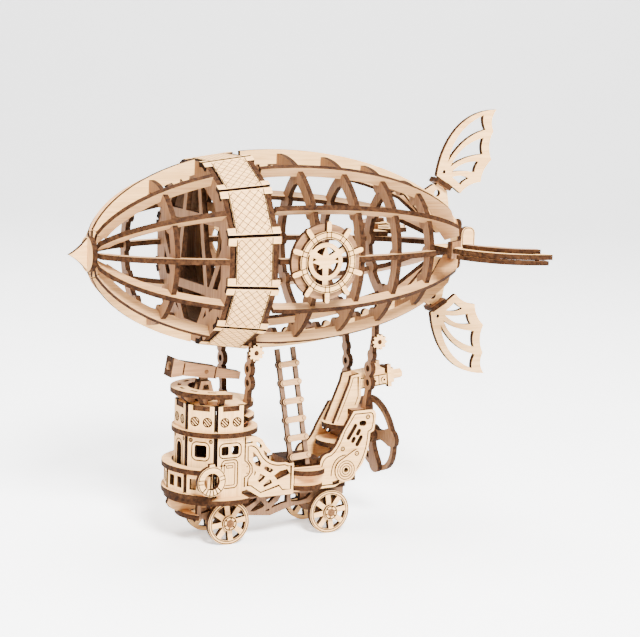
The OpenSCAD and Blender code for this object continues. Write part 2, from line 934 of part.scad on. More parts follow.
module telescope_pedestal() {
    tongue_half = 0.95;
    color("#c99f6c") {
        translate([telescope_pivot[0], 0, bracket_z + 0.4])
            cylinder(r = turn_pin_radius, h = turntable_z - bracket_z - 0.4 + 1);
        translate([telescope_pivot[0], 0, turntable_z]) cylinder(r = 3.8, h = 1);
        translate([telescope_pivot[0], 0, 0]) {
            side_plate(1.4, 1.4) cheek_drawing();
            side_plate(-2.8, 1.4) cheek_drawing();
            side_plate(-1.4 - tiny, 2.8 + 2 * tiny) translate([-2, 61]) square([4, 1]);
            side_plate(-tongue_half, 2 * tongue_half)
                difference() {
                    union() {
                        translate([-1.6, 61.5]) square([3.2, telescope_pivot[2] - 61.5]);
                        translate([0, telescope_pivot[2]]) circle(1.6, $fn = 32);
                    }
                    translate([0, telescope_pivot[2]]) circle(tilt_pin_radius + running_gap, $fn = 32);
                }
        }
    }
}

// Telescope drawn level with its pivot at the origin
module telescope_level() {
    translate(telescope_pivot) rotate([0, telescope_angle, 0]) children();
}

module telescope_tube() {
    color("#c99f6c")
        telescope_level()
            difference() {
                union() {
                    side_plate(-telescope_half_width, 2 * telescope_half_width)
                        polygon([[-10, -2.6], [-10, 2.6], [4.5, 2.25], [4.5, -2.25]]);
                    side_plate(-telescope_half_width - 0.6, 2 * telescope_half_width + 1.2)
                        polygon([
                            [-14.3, -telescope_mouth / 2],
                            [-14.3, telescope_mouth / 2],
                            [-10, 2.7],
                            [-10, -2.7]
                        ]);
                }
                translate([-15, 0, 0]) rotate([0, 90, 0]) cylinder(r = 2, h = 5);
                translate([-2.6, -1.25, -4]) cube([5.2, 2.5, 6.4]);
                translate([0, 5, 0])
                    rotate([90, 0, 0]) cylinder(r = tilt_pin_radius + slot_gap, h = 10, $fn = 32);
            }
}

module telescope_eyepiece() {
    color("#b98a58")
        telescope_level()
            side_plate(-2.1, 4.2)
                polygon([[4.5 + slot_gap, -1.9], [4.5 + slot_gap, 1.9], [14.6, 1.45], [14.6, -1.45]]);
}

module telescope_pin() {
    color("#8a5f3a")
        translate(telescope_pivot + [0, telescope_half_width, 0])
            rotate([90, 0, 0]) cylinder(r = tilt_pin_radius, h = 2 * telescope_half_width, $fn = 32);
}

// Bow

module balcony_drawing(radius) {
    difference() {
        translate([tower_x, 0])
            intersection() {
                circle(radius, $fn = 96);
                polygon([
                    [0, 0],
                    40 * bow_dir(balcony_half_angle),
                    60 * bow_dir(0),
                    40 * bow_dir(-balcony_half_angle)
                ]);
            }
        tower_outline(slot_gap);
    }
}

// Balcony deck and the narrower cap on its railing
module balcony_decks() {
    cap_inner = rail_apothem - sheet - 0.4;
    color("#8a5f3a") {
        level_plate(deck_mid_z) balcony_drawing(balcony_radius);
        level_plate(rail_top_z)
            difference() {
                balcony_drawing(balcony_radius);
                translate([tower_x, 0]) circle(cap_inner, $fn = 96);
            }
    }
}

module balcony_railing() {
    panel_width = 2 * rail_apothem * tan(rail_step / 2) - 1.6;
    rail_height = rail_top_z - rail_z - 2 * slot_gap;
    color("#f0dcb8")
        for (k = [-1.5 : 1 : 1.5]) {
            bow_wall(k * rail_step, rail_apothem)
                translate([0, rail_z + slot_gap + rail_height / 2])
                    difference() {
                        square([panel_width, rail_height], center = true);
                        for (side = [-1, 1]) translate([side * 2.2, 0]) square([2.6, 4.2], center = true);
                    }
        }
}

module bow_deck() {
    color("#8a5f3a")
        level_plate(deck_low_z)
            intersection() {
                translate([tower_x, 0]) circle(balcony_radius - 1, $fn = 96);
                translate([-60, -30]) square([60 + deck_end_x - slot_gap, 60]);
            }
}

module lifebuoy() {
    buoy_x = tower_x - balcony_radius * cos(61);
    color("#f0dcb8")
        translate([buoy_x, 0, 27.6])
            side_plate(-balcony_radius * sin(64) - slot_gap - sheet)
                difference() {
                    union() {
                        circle(5.7, $fn = 64);
                        translate([-1, 4.6]) square([2, 2]);
                    }
                    circle(3.2, $fn = 48);
                }
}

// Keel plate of the bow and the level plate under it
module bow_hull() {
    keel_foot_z = bow_plate_z + sheet + slot_gap;
    color("#d9b98c") {
        side_plate(-sheet / 2)
            polygon([
                [-49.6, deck_low_z - slot_gap],
                [-50.2, 15.6],
                [-48.8, 13.6],
                [-46.4, keel_foot_z],
                [-34.2, keel_foot_z],
                [-34.2, deck_low_z - slot_gap]
            ]);
        level_plate(bow_plate_z)
            intersection() {
                translate([tower_x, 0]) circle(bow_plate_radius, $fn = 96);
                translate([-60, -30]) square([60 + hull_front_x - slot_gap, 60]);
            }
    }
}

// Hull

// Openings between the struts of a hull plate, from the bow to the stern
hull_openings = [
    [[-39.4, 16], [-36.4, 16], [-35.2, 13.2], [-39.4, 12.2]],
    [[-24, 13.5], [-22.7, 14.5], [-19.6, 16.1], [-16.1, 16.3], [-16.4, 15.2], [-19, 13.7], [-21.1, 12.8]],
    [[-19, 11.2], [-18.1, 12], [-14.5, 14.9], [-12.8, 13], [-13.6, 12.2], [-17.3, 11]],
    [[-12.7, 16], [-8, 16.2], [-11.1, 13.6]],
    [[-12.8, 10.6], [-12, 11.1], [-10.9, 11.5], [-10.6, 10.7]],
    [[-9.7, 11.6], [-9.7, 12.2], [-7, 14.1], [-5.8, 16.1], [-3.3, 16.3], [-3.2, 13.4], [-5.6, 13]],
    [[-1.6, 16.2], [2.4, 16.4], [7.7, 16.1], [5.3, 13.9], [2.6, 13.3], [-1.5, 13.3]]
];

module hull_drawing() {
    difference() {
        union() {
            polygon([
                [hull_front_x, deck_low_z - slot_gap],
                [hull_front_x, bow_plate_z],
                [-37.5, bow_plate_z],
                [-32, axle_z + 3],
                [-26, axle_z + 3],
                [-20, 9.7],
                [-10.4, 8.7],
                [-1.8, 11.4],
                [8, 12.4],
                [18, 12.4],
                [21.5, 14.6],
                [21.5, deck_low_z - slot_gap]
            ]);
            for (x = [front_axle_x, rear_axle_x]) {
                translate([x, axle_z]) circle(axle_radius + 2.4, $fn = 40);
                translate([x - 3.9, axle_z]) square([7.8, 6]);
            }
        }
        for (x = [front_axle_x, rear_axle_x]) {
            translate([x, axle_z]) circle(axle_radius + running_gap, $fn = 48);
        }
        for (opening = hull_openings) polygon(opening);
    }
}

// Two side plates and the flat belly plate between them
module hull_plates() {
    half = hull_inner_y - slot_gap;
    color("#c99f6c") {
        both_sides() side_plate(-hull_inner_y - sheet) hull_drawing();
        level_plate(belly_z) translate([-19, -half]) square([10, 2 * half]);
    }
}

module main_deck() {
    color("#d9b98c")
        level_plate(deck_low_z) {
            translate([deck_end_x, slot_gap - side_inner_y]) square([21, 2 * (side_inner_y - slot_gap)]);
            translate([deck_end_x, slot_gap - stern_inner_y]) square([46, 2 * (stern_inner_y - slot_gap)]);
        }
}

// Side panel with a handrail along its curved top
side_outline = concat(
    [[-27, deck_mid_z + 0.6], [-27, 41.8]],
    curve([-23.4, 41.8], [-18.4, 42], [-16.4, 39.9]),
    curve([-16.4, 39.9], [-14.8, 37], [-12.6, 35.3]),
    [[-12.6, 35.3], [-13.2, 34.4], [-14.8, 34.9], [-15.9, 36.1]],
    curve([-15.5, 34.1], [-13.2, 30.8], [-8.9, 30.4]),
    [[-8.9, 30.4], [-6.2, 30.4], [-5, 29.8], [-2.8, 29.8], [-2.8, 17.6], [-16.8, 17.6], [-22.6, 21.2]]
);

// Two slots below the handrail, then the openings of the panel from the top down
side_openings = [
    [[-23.3, 38.9], [-23.3, 39.3], [-22.2, 39.8], [-20.6, 39.7], [-20.4, 39.1], [-22.2, 39]],
    [[-18.9, 39.3], [-18, 39.2], [-16.6, 37.8], [-16.6, 36.9], [-17.3, 36.8], [-18.9, 38.4]],
    [[-20.3, 35.6], [-18.3, 33.7], [-16.6, 30.8], [-17.2, 29.5], [-19, 30.2], [-20.2, 32.6]],
    [[-15.4, 29.4], [-14.6, 29.5], [-11.8, 28.2], [-11.4, 27.6], [-12.7, 26.7], [-14, 27.4], [-15.5, 28.6]],
    [[-19.4, 28.3], [-18.8, 27.6], [-19.1, 26.5], [-19.6, 26.2]],
    [[-17, 26.9], [-14.8, 25.6], [-15.4, 24.6], [-17.2, 23.4], [-18.2, 24.1]],
    [[-13, 24.3], [-12.1, 23.6], [-11.8, 22.6], [-15.2, 21.3], [-15.8, 22.1]],
    [[-11.2, 25.5], [-8.8, 27.1], [-5.5, 27.7], [-4.3, 25.7], [-9.7, 23.7]]
];

module side_drawing() {
    difference() {
        polygon(side_outline);
        for (opening = side_openings) polygon(opening);
    }
}

module side_panels() {
    color("#f0dcb8") both_sides() side_plate(-side_inner_y - sheet) side_drawing();
}

stern_outline = concat(
    [[-2.6, 17.8], [-2.6, 27.4], [9.4, 27.4]],
    curve([9.4, 27.4], [9.6, 31.6], [13.4, 31.8]),
    curve([13.4, 31.8], [16.6, 33.6], [18.9, 40.4]),
    [[23.6, 47.8]],
    curve([32, 47.9], [34.4, 47.6], [33.4, 42.2]),
    [[33.4, 42.2], [32.9, 39.4]],
    curve([31.3, 38.6], [31, 26.5], [22.8, 20]),
    [[22.8, 20], [18.4, 19.4], [16.2, 18.2]]
);

stern_slots = [
    [[24.5, 41.9], [21.6, 37.3]],
    [[26.3, 39.8], [25.7, 38.7]],
    [[24.1, 36.8], [23.6, 35.9]],
    [[27.2, 37.2], [25.6, 34.4]]
];

module stern_drawing() {
    difference() {
        polygon(stern_outline);
        translate([27.8, 42.7]) rotate(-4) rounded_window(3.2, 2.2, 1);
        for (slot = stern_slots) strip(slot, 1.7);
        translate([20.4, 24.8]) circle(1, $fn = 24);
        translate([27, 23.6]) rotate(45) square([3.4, 1.6], center = true);
        translate([16.6, 19.9]) rotate(12) square([3, 1.6], center = true);
    }
}

module stern_panels() {
    color("#f0dcb8") both_sides() side_plate(-stern_inner_y - sheet) stern_drawing();
}

// Raised drop-shaped discs on the outside of the stern panels
module stern_discs() {
    color("#e6cda4")
        both_sides()
            translate([20.4, 0, 24.8])
                side_plate(-stern_inner_y - sheet - slot_gap - 1, 1)
                    difference() {
                        union() {
                            circle(4.6, $fn = 48);
                            polygon([[-2.9, 3.57], [3.7, 7.5], [5.9, 5.5], [4.55, -0.7]]);
                            translate([4.6, 6.3]) circle(1.5, $fn = 32);
                        }
                        circle(1, $fn = 24);
                    }
}

module side_steps() {
    step_y = stern_inner_y + sheet + slot_gap;
    color("#8a5f3a")
        both_sides()
            for (step = [[4.6, 24.6], [3.4, 18.9]]) {
                level_plate(step[1])
                    intersection() {
                        translate([step[0], 4 - step_y]) circle(8.2, $fn = 64);
                        translate([-2.5, -step_y - 10]) square([13, 10]);
                    }
            }
}

module deck_bench() {
    color("#c99f6c") {
        level_plate(deck_mid_z + slot_gap, 7.8) {
            translate([-2, -6]) square([2, 12]);
            translate([9, -6]) square([2, 12]);
        }
        level_plate(deck_mid_z + slot_gap + 7.8) translate([-2.4, -7.4]) square([14, 14.8]);
    }
}

// Cross wall of the stern with the slanting bore of the propeller shaft
module stern_wall(x, foot_z) {
    half = stern_inner_y - slot_gap;
    difference() {
        cross_plate(x) translate([-half, foot_z]) square([2 * half, stern_top_z - foot_z - slot_gap]);
        raise_propeller()
            translate([-20, 0, 0]) rotate([0, 90, 0]) cylinder(r = shaft_radius + running_gap, h = 20);
    }
}

module stern_frame() {
    half = stern_inner_y - slot_gap;
    color("#b98a58") {
        stern_wall(stern_wall_x, deck_mid_z + slot_gap);
        stern_wall(transom_x, 28);
        level_plate(stern_top_z) translate([stern_wall_x, -half]) square([8.6, 2 * half]);
    }
}

module stern_seats() {
    color("#8a5f3a")
        for (seat = [[32.6, 9.5], [39.6, 7.4]]) {
            level_plate(seat[0])
                intersection() {
                    translate([stern_wall_x - slot_gap, 0]) circle(seat[1] + 0.6, $fn = 64);
                    translate([0, slot_gap - stern_inner_y])
                        square([stern_wall_x - slot_gap, 2 * (stern_inner_y - slot_gap)]);
                }
        }
}

// Station of the engine's front face at a height
function engine_front(z) = engine_x - slot_gap - (z - engine_z) * tan(engine_rise);

module cheek_plates() {
    color("#e6cda4")
        both_sides()
            side_plate(2.5)
                polygon([
                    [18.4, 41.6 + slot_gap],
                    [24.8, 57],
                    [25.6, 60.4],
                    [engine_front(61), 61],
                    [engine_front(52), 52],
                    [28.6, stern_top_z + sheet + slot_gap],
                    [stern_wall_x - 0.1, stern_top_z + sheet + slot_gap],
                    [stern_wall_x - 0.1, 41.6 + slot_gap]
                ]);
}

// Engine, drawn level with its front lower edge at the origin and then raised at the back

module raise_engine() {
    translate([engine_x, 0, engine_z]) rotate([0, -engine_rise, 0]) children();
}

module engine_box() {
    lid_height = 1.8;
    color("#e6cda4")
        raise_engine() {
            translate([0, -4.6, 0]) cube([engine_length, 9.2, engine_height]);
            translate([0, -3.4, engine_height - tiny]) cube([engine_length, 6.8, lid_height]);
            translate([7, -1.2, engine_height + lid_height - 2 * tiny]) cube([2.6, 2.4, lid_height]);
        }
}

// Studs on the engine's sides, two flange strips and a plate behind it, and the hexagonal nozzle
module engine_trim() {
    strip_length = 1.6;
    plate_length = 1.8;
    strip_x = engine_length + slot_gap;
    plate_x = strip_x + strip_length + slot_gap;
    nozzle_x = plate_x + plate_length + slot_gap;
    color("#e6cda4")
        raise_engine() {
            both_sides() {
                translate([strip_x, -5.6, -0.9]) cube([strip_length, 2.2, 9]);
                for (x = [6.3, 10.3]) {
                    translate([x, -4.6 - slot_gap, 2.3])
                        rotate([90, 0, 0]) cylinder(r = 1.1, h = 0.7, $fn = 32);
                }
            }
            translate([plate_x, -4.4, 0.4]) cube([plate_length, 8.8, 5.8]);
            translate([nozzle_x, 0, 2.4])
                rotate([0, 90, 0])
                    difference() {
                        cylinder(r = 1.9, h = 5.4, $fn = 6);
                        translate([0, 0, 1.4]) cylinder(r = 0.9, h = 5);
                    }
        }
}

// Propeller, drawn about a level shaft and then raised at the back

module raise_propeller() {
    translate([propeller_x, 0, shaft_z]) rotate([0, -propeller_rise, 0]) children();
}

hoop_radius = propeller_radius - 2;
short_reach = propeller_radius - 1.6;

// Half outline of a blade along +X, from the hub to the middle of its round tip
function blade_edge(reach, side) =
    concat(
        [[0, side * 2], [5, side * 1.9]],
        curve([5, side * 1.9], [8, side * 2.2], [10.5, side * 3.4]),
        curve([10.5, side * 3.4], [reach - 0.4, side * 4.6], [reach, 0])
    );

function reversed(points) = [for (i = [len(points) - 1 : -1 : 0]) points[i]];

// Two opposite blades and their hub, the first blade raised from port by an angle
module blade_pair(reach, angle) {
    outline = concat(blade_edge(reach, 1), [[reach, 0]], reversed(blade_edge(reach, -1)));
    circle(3.4, $fn = 48);
    for (turn = [0, 180]) rotate(180 - angle + turn) polygon(outline);
}

// Long blades with the hoop, short blades in front of them and the hub disc
module propeller() {
    hub_length = 2.6;
    short_x = -slot_gap - sheet;
    bore = shaft_radius + slot_gap;
    color("#b98a58")
        raise_propeller() {
            cross_plate(0)
                difference() {
                    union() {
                        difference() {
                            circle(hoop_radius, $fn = 96);
                            circle(hoop_radius - 2, $fn = 96);
                        }
                        blade_pair(propeller_radius, 3);
                    }
                    circle(bore, $fn = 48);
                }
            cross_plate(short_x)
                difference() {
                    blade_pair(short_reach, -83);
                    circle(bore, $fn = 48);
                }
            cross_plate(short_x - slot_gap - hub_length, hub_length)
                difference() {
                    circle(3, $fn = 48);
                    circle(bore, $fn = 48);
                }
        }
}

module propeller_shaft() {
    front_reach = (propeller_x - stern_wall_x - 0.4) / cos(propeller_rise);
    color("#8a5f3a")
        raise_propeller()
            translate([-front_reach, 0, 0])
                rotate([0, 90, 0]) cylinder(r = shaft_radius, h = front_reach + sheet + 0.8);
}

// Wheels

module wheel_drawing() {
    rim_inner = wheel_radius - 1.6;
    difference() {
        union() {
            difference() {
                circle(wheel_radius, $fn = 72);
                circle(rim_inner, $fn = 72);
            }
            circle(3.1, $fn = 48);
            for (k = [0 : wheel_spokes - 1]) {
                rotate(k * 360 / wheel_spokes + 8) translate([1.8, -1]) square([rim_inner - 1.2, 2]);
            }
        }
        circle(axle_radius + slot_gap / 2, $fn = 48);
    }
}

// Two wheels with a raised hub disc on each
module wheel_pair(x) {
    wheel_outer_y = wheel_inner_y + wheel_width;
    color("#e6cda4")
        both_sides()
            translate([x, 0, axle_z]) {
                side_plate(-wheel_outer_y, wheel_width) wheel_drawing();
                side_plate(-wheel_outer_y - slot_gap - hub_width, hub_width)
                    difference() {
                        circle(2.9, $fn = 48);
                        circle(axle_radius + slot_gap / 2, $fn = 48);
                    }
            }
}

module axle(x) {
    half = wheel_inner_y + wheel_width + hub_width + 0.4;
    color("#8a5f3a")
        translate([x, half, axle_z]) rotate([90, 0, 0]) cylinder(r = axle_radius, h = 2 * half);
}

module front_wheels() {
    wheel_pair(front_axle_x);
}

module rear_wheels() {
    wheel_pair(rear_axle_x);
}

module front_axle() {
    axle(front_axle_x);
}

module rear_axle() {
    axle(rear_axle_x);
}

nose_tip();
nose_disc();
keels();
front_stringers();
rear_stringers();
ring_nose();
rear_rings();
tail_post();
tail_plate();
bulkhead_front();
bulkhead_rear();
belt_panels();
helm_backs();
helm_rims();
helm_hubs();
upper_fin();
lower_fin();
flat_fins();
fin_strips();
fin_collars();
front_hangers();
rear_hangers();
hanger_gears();
ladder_rails();
ladder_steps();
tower_walls();
lower_cornice();
frieze_panels();
aft_balcony();
upper_cornice();
lookout_brackets();
lookout();
telescope_base();
telescope_pedestal();
telescope_tube();
telescope_eyepiece();
telescope_pin();
balcony_decks();
balcony_railing();
bow_deck();
lifebuoy();
bow_hull();
hull_plates();
main_deck();
side_panels();
stern_panels();
stern_discs();
side_steps();
deck_bench();
stern_frame();
stern_seats();
cheek_plates();
engine_box();
engine_trim();
propeller();
propeller_shaft();
front_wheels();
front_axle();
rear_wheels();
rear_axle();
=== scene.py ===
import math

import bpy
import numpy as np
from mathutils import Matrix, Vector


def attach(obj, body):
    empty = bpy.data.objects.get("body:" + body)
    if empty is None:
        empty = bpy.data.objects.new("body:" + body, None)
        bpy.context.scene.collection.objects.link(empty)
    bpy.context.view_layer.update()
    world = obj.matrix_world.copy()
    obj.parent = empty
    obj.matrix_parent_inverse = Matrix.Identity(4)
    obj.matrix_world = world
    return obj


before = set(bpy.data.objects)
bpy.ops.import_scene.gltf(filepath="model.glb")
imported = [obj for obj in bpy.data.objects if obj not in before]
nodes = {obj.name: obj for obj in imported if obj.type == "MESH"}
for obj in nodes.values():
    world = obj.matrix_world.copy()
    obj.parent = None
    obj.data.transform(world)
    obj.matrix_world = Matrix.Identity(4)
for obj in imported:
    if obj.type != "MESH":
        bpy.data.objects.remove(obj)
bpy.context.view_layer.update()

MM = 0.001

# Sizes repeated from the part, in millimetres
SHEET = 2.0
SLOT_GAP = 0.05
AXIS_Z = 111.0
ENVELOPE_RADIUS = 37.8
TOWER_X = -30.8
TOWER_APOTHEM = 14.5
BELT_PANELS = 12
BELT_FRONT_X = -42.4
BELT_REAR_X = -23.0
BELT_FRONT_APOTHEM = 33.6
BELT_REAR_APOTHEM = 36.3
SIDE_FACE_Y = 12.4
STERN_FACE_Y = 11.0
CHEEK_FACE_Y = 4.5
AXLE_Z = 8.5
FRONT_AXLE_X = -29.2
REAR_AXLE_X = 14.1
WHEEL_FACE_Y = 11.4
HUB_WIDTH = 1.2
HUB_FACE_Y = WHEEL_FACE_Y + SLOT_GAP + HUB_WIDTH
HELM_X = -6.7
HELM_RADIUS = 11.2
HELM_HANDLES = 10
HELM_FACE_Y = ENVELOPE_RADIUS + SLOT_GAP + 2 * SHEET
BALCONY_RADIUS = 20.0
BUOY_CENTRE = (TOWER_X - BALCONY_RADIUS * math.cos(math.radians(61)), 27.6)
BUOY_FACE_Y = BALCONY_RADIUS * math.sin(math.radians(64)) + SLOT_GAP + SHEET
BUOY_OUTER = 5.7
BUOY_INNER = 3.2
TAIL_X = 73.0
TAIL_BAR = 1.1
TAIL_PLATE_WIDTH = 6.3
TAIL_PLATE_CENTRE = (TAIL_X + SHEET + SLOT_GAP + TAIL_BAR + TAIL_PLATE_WIDTH / 2, AXIS_Z)
DISC_CENTRE = (20.4, 24.8)
DISC_HEIGHT = 1.0
ENGINE_CORNER = (30 + SLOT_GAP, 54.9)
ENGINE_RISE = 6.0
ENGINE_LENGTH = 11.8
ENGINE_FACE_Y = 4.6
STUD_HEIGHT = 0.7
TELESCOPE_PIVOT = (-36.0, 65.6)
TELESCOPE_ANGLE = 9.8
TELESCOPE_FACE_Y = 2.9

# Engraved lines stand this far off the plate they are burnt into
LIFT = 0.02

# Widths of engraved lines
HAIR_LINE = 0.25
FINE_LINE = 0.38
LINE = 0.48
BOLD_LINE = 0.58


# Materials

class NodeBuilder:
    """Short calls for adding and linking the nodes of one material."""

    # Places of the colour sockets of a mix node, which has sockets of one name for every kind of value
    MIX_FIRST = 6
    MIX_SECOND = 7
    MIX_RESULT = 2

    def __init__(self, name):
        self.material = bpy.data.materials.new(name)
        self.material.use_nodes = True
        self.tree = self.material.node_tree
        self.shader = self.tree.nodes["Principled BSDF"]

    def add(self, kind, **settings):
        """New node of a kind, with settings by name."""
        node = self.tree.nodes.new(kind)
        for key, value in settings.items():
            setattr(node, key, value)
        return node

    def link(self, output, socket):
        self.tree.links.new(output, socket)

    def coordinates(self, scale):
        """Object coordinates stretched by a scale on each axis."""
        source = self.add("ShaderNodeTexCoord")
        mapping = self.add("ShaderNodeMapping")
        mapping.inputs["Scale"].default_value = scale
        self.link(source.outputs["Object"], mapping.inputs["Vector"])
        return mapping.outputs["Vector"]

    def noise(self, scale, detail=3.0, roughness=0.55):
        """Noise from 0 to 1 in coordinates of that scale."""
        node = self.add("ShaderNodeTexNoise")
        node.inputs["Scale"].default_value = 1.0
        node.inputs["Detail"].default_value = detail
        node.inputs["Roughness"].default_value = roughness
        self.link(self.coordinates(scale), node.inputs["Vector"])
        return node.outputs["Fac"]

    def ramp(self, value, stops):
        """Colour ramp with stops of (position, colour)."""
        node = self.add("ShaderNodeValToRGB")
        elements = node.color_ramp.elements
        while len(elements) < len(stops):
            elements.new(0.5)
        for element, (position, colour) in zip(elements, stops):
            element.position = position
            element.color = (*colour, 1.0)
        self.link(value, node.inputs["Fac"])
        return node.outputs["Color"]

    def mix(self, blend, amount, first, second):
        """Two colours blended by an amount."""
        node = self.add("ShaderNodeMix", data_type="RGBA", blend_type=blend)
        node.inputs["Factor"].default_value = amount
        self.link(first, node.inputs[self.MIX_FIRST])
        self.link(second, node.inputs[self.MIX_SECOND])
        return node.outputs[self.MIX_RESULT]

    def rescale(self, value, low, high):
        """Value from 0 to 1 brought between low and high."""
        node = self.add("ShaderNodeMapRange")
        node.inputs["To Min"].default_value = low
        node.inputs["To Max"].default_value = high
        self.link(value, node.inputs["Value"])
        return node.outputs["Result"]

    def bump(self, value, strength, distance):
        """Fine relief on the shader."""
        node = self.add("ShaderNodeBump")
        node.inputs["Strength"].default_value = strength
        node.inputs["Distance"].default_value = distance
        self.link(value, node.inputs["Height"])
        self.link(node.outputs["Normal"], self.shader.inputs["Normal"])


GRAIN_SCALES = {
    "x": (45, 1500, 1500),
    "z": (1500, 1500, 45),
}
WHITE = (1.0, 1.0, 1.0)
MOTTLE_TONE = (0.86, 0.82, 0.76)
PORE_TONE = (0.72, 0.6, 0.48)
PATCH_TONE = (0.62, 0.56, 0.52)


def face_wood(name, pale, streak, grain):
    """Sanded plywood face: fine long grain, slow mottling and small pores."""
    build = NodeBuilder(name)
    grain_noise = build.noise(GRAIN_SCALES[grain], detail=4.0, roughness=0.6)
    mottle = build.noise((55, 55, 55), detail=2.0)
    pores = build.noise(tuple(4 * s for s in GRAIN_SCALES[grain]), detail=1.0)
    grain_colour = build.ramp(grain_noise, [(0.36, streak), (0.58, pale)])
    mottle_colour = build.ramp(mottle, [(0.3, MOTTLE_TONE), (0.7, WHITE)])
    pore_colour = build.ramp(pores, [(0.27, PORE_TONE), (0.36, WHITE)])
    toned = build.mix("MULTIPLY", 0.9, grain_colour, mottle_colour)
    toned = build.mix("MULTIPLY", 0.5, toned, pore_colour)
    build.link(toned, build.shader.inputs["Base Color"])
    build.link(build.rescale(grain_noise, 0.74, 0.56), build.shader.inputs["Roughness"])
    build.shader.inputs["Specular IOR Level"].default_value = 0.3
    build.bump(grain_noise, 0.25, 0.00004)
    return build.material


def burnt_edge(name, light, dark):
    """Laser-cut edge: scorched brown with streaks across the sheet."""
    build = NodeBuilder(name)
    streaks = build.noise((700, 700, 700), detail=3.0, roughness=0.7)
    patches = build.noise((130, 130, 130), detail=2.0)
    streak_colour = build.ramp(streaks, [(0.34, dark), (0.66, light)])
    patch_colour = build.ramp(patches, [(0.32, PATCH_TONE), (0.68, WHITE)])
    toned = build.mix("MULTIPLY", 0.85, streak_colour, patch_colour)
    build.link(toned, build.shader.inputs["Base Color"])
    build.link(build.rescale(streaks, 0.62, 0.82), build.shader.inputs["Roughness"])
    build.shader.inputs["Specular IOR Level"].default_value = 0.04
    build.bump(streaks, 0.3, 0.00005)
    return build.material


PALE = (0.76, 0.45, 0.18)
PALE_STREAK = (0.6, 0.325, 0.115)
# Middle tone: painted shade, the wood darkened for the stringers, ladder steps and bow hull, which sit in
# shadow
MIDDLE_SHADE = (0.46, 0.255, 0.105)
MIDDLE_STREAK = (0.34, 0.175, 0.068)
# Tan tone: a darker wood, darkened further as painted shade for rings, bulkheads, hangers and other plates
# inside and behind
TAN = (0.25, 0.122, 0.05)
TAN_STREAK = (0.17, 0.078, 0.03)
# Deep tone: painted shade, for the ladder rails, the hull plates and the inner faces of the side panels and
# the belt
DEEP_SHADE = (0.15, 0.075, 0.034)
DEEP_STREAK = (0.1, 0.048, 0.021)
pale_faces = {grain: face_wood("pale_face_" + grain, PALE, PALE_STREAK, grain) for grain in "xz"}
tan_and_shade_faces = {grain: face_wood("tan_and_shade_face_" + grain, TAN, TAN_STREAK, grain) for grain in "xz"}
middle_shade_face = face_wood("middle_shade_face", MIDDLE_SHADE, MIDDLE_STREAK, "x")
deep_shade_face = face_wood("deep_shade_face", DEEP_SHADE, DEEP_STREAK, "z")
edge = burnt_edge("burnt_edge", (0.055, 0.023, 0.009), (0.01, 0.004, 0.002))
# Near-black edge: the burnt edge with painted shade, so the gaps between panels look black
gap_shade_burnt = burnt_edge("gap_shade_burnt_edge", (0.016, 0.007, 0.004), (0.006, 0.003, 0.002))
dowel = burnt_edge("dowel_end", (0.18, 0.085, 0.036), (0.07, 0.032, 0.014))
# Near-black painted shade for the inner faces of the tower, so the rooms look dark
painted_shade = burnt_edge("painted_shade_inside", (0.035, 0.015, 0.006), (0.014, 0.006, 0.003))
engraved = burnt_edge("engraved_line", (0.03, 0.012, 0.005), (0.01, 0.004, 0.002))
net_line = burnt_edge("engraved_net", (0.12, 0.055, 0.022), (0.06, 0.027, 0.011))


# Faces and edges of the plates

# Corners closer than this are one corner, in millimetres
WELD_DISTANCE = 0.001

# Parts of a direction below this count as none
FLAT_LIMIT = 0.05

# Steps in which directions are told apart
DIRECTION_STEPS = 12


def solid_labels(mesh):
    """Number of the solid that each polygon belongs to, found by shared corners."""
    coords = np.empty(len(mesh.vertices) * 3)
    mesh.vertices.foreach_get("co", coords)
    keys = np.round(coords.reshape(-1, 3) / (WELD_DISTANCE * MM)).astype(np.int64)
    unique, welded = np.unique(keys, axis=0, return_inverse=True)
    parent = list(range(len(unique)))

    def root(i):
        while parent[i] != i:
            parent[i] = parent[parent[i]]
            i = parent[i]
        return i

    welded = welded.ravel()
    corners = [[welded[v] for v in polygon.vertices] for polygon in mesh.polygons]
    for polygon in corners:
        first = root(polygon[0])
        for vertex in polygon[1:]:
            parent[root(vertex)] = first
    return np.array([root(polygon[0]) for polygon in corners])


def plate_normal(normals, areas):
    """Direction in which the polygons of one solid show the most area."""
    signs = np.where(np.abs(normals) > FLAT_LIMIT, np.sign(normals), 0)
    first_sign = np.array([next((s for s in row if s), 1.0) for row in signs])
    folded = normals * first_sign[:, None]
    keys = np.round(folded * DIRECTION_STEPS).astype(int)
    group = np.unique(keys, axis=0, return_inverse=True)[1].ravel()
    best = group == np.bincount(group, weights=areas).argmax()
    mean = (folded[best] * areas[best][:, None]).sum(axis=0)
    return mean / np.linalg.norm(mean)


def dress_plates(node, face, side, normal=None, limit=0.9):
    """Gives the sides of each plate turned along its normal the face material, and the rest the edge one."""
    mesh = nodes[node].data
    count = len(mesh.polygons)
    normals = np.empty(count * 3)
    mesh.polygons.foreach_get("normal", normals)
    normals = normals.reshape(-1, 3)
    areas = np.empty(count)
    mesh.polygons.foreach_get("area", areas)
    labels = solid_labels(mesh)
    slots = np.ones(count, dtype=np.int32)
    for label in np.unique(labels):
        members = np.flatnonzero(labels == label)
        across = plate_normal(normals[members], areas[members]) if normal is None else np.array(normal)
        slots[members] = np.abs(normals[members] @ across) < limit
    mesh.materials.clear()
    mesh.materials.append(face)
    mesh.materials.append(side)
    mesh.polygons.foreach_set("material_index", slots)
    mesh.update()


def dress_inside(node, material, middle, along):
    """Gives the faces turned toward a line, through a middle and along one axis, a material of their own."""
    mesh = nodes[node].data
    mesh.materials.append(material)
    for polygon in mesh.polygons:
        outward = polygon.center - Vector(middle) * MM
        outward[along] = 0
        if polygon.material_index == 0 and polygon.normal.dot(outward) < 0:
            polygon.material_index = len(mesh.materials) - 1


def dress_whole(node, material):
    """Gives all of a node one material."""
    mesh = nodes[node].data
    mesh.materials.clear()
    mesh.materials.append(material)
